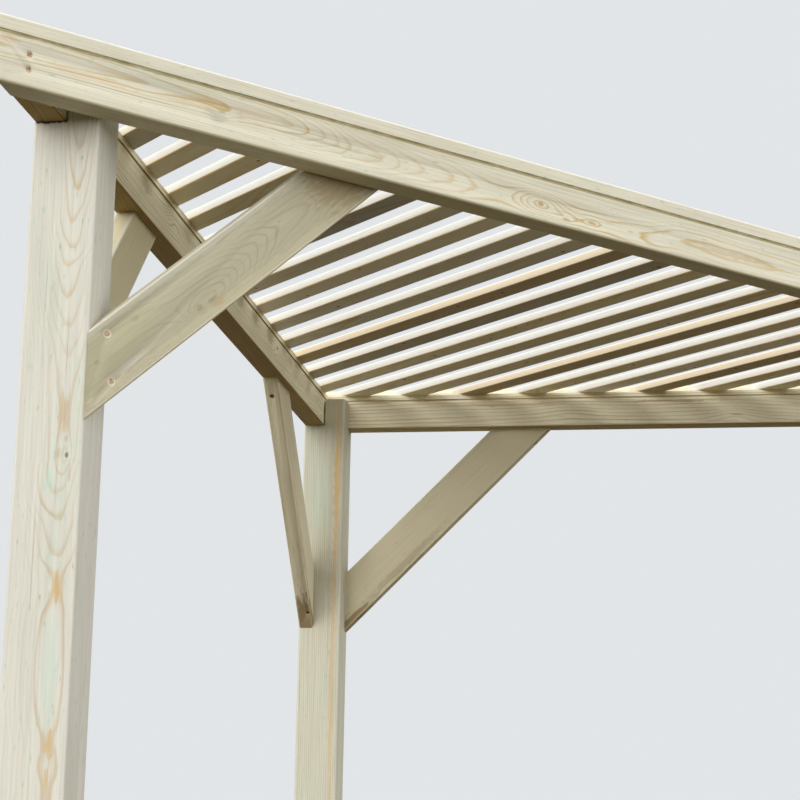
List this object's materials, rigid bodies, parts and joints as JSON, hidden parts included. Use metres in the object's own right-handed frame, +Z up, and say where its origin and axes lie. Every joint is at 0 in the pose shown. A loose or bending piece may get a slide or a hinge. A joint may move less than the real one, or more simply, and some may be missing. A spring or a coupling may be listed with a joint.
{
  "type": "corner pergola",
  "caption": "Triangular corner pergola of softwood posts, grooved rails and knee braces, with a flat slatted roof, for a seat or climbing plants.",
  "frame": {"origin": "on the ground, under the centre of the bounding box of the frame", "axes": "+Z up, +X along the front rail, +Y from the front rail towards the corner post"},
  "size_m": [3.1, 1.55, 2.194],
  "materials": {
    "post_timber": "planed pressure-treated softwood, pale cream with a green tint, matt",
    "rail_timber": "planed pressure-treated softwood with golden grain, matt",
    "brace_timber": "planed pressure-treated softwood, a little greener and darker, matt",
    "slat_timber": "planed pressure-treated softwood, varying from pale cream to light orange, matt",
    "screw_steel": "weathered countersunk screw heads, dull brown"
  },
  "bodies": {
    "root": {"left_post": "post_timber", "right_post": "post_timber", "corner_post": "post_timber", "left_rail": "rail_timber", "right_rail": "rail_timber", "front_rail": "rail_timber", "left_corner_brace": "brace_timber", "left_end_brace": "brace_timber", "left_front_brace": "brace_timber", "right_corner_brace": "brace_timber", "right_end_brace": "brace_timber", "right_front_brace": "brace_timber", "left_slat_01": "slat_timber", "right_slat_01": "slat_timber", "left_slat_02": "slat_timber", "right_slat_02": "slat_timber", "left_slat_03": "slat_timber", "right_slat_03": "slat_timber", "left_slat_04": "slat_timber", "right_slat_04": "slat_timber", "left_slat_05": "slat_timber", "right_slat_05": "slat_timber", "left_slat_06": "slat_timber", "right_slat_06": "slat_timber", "left_slat_07": "slat_timber", "right_slat_07": "slat_timber", "left_slat_08": "slat_timber", "right_slat_08": "slat_timber", "left_slat_09": "slat_timber", "right_slat_09": "slat_timber", "left_slat_10": "slat_timber", "right_slat_10": "slat_timber", "left_slat_11": "slat_timber", "right_slat_11": "slat_timber", "left_slat_12": "slat_timber", "right_slat_12": "slat_timber", "left_slat_13": "slat_timber", "right_slat_13": "slat_timber", "left_slat_14": "slat_timber", "right_slat_14": "slat_timber"}
  },
  "joints": []
}
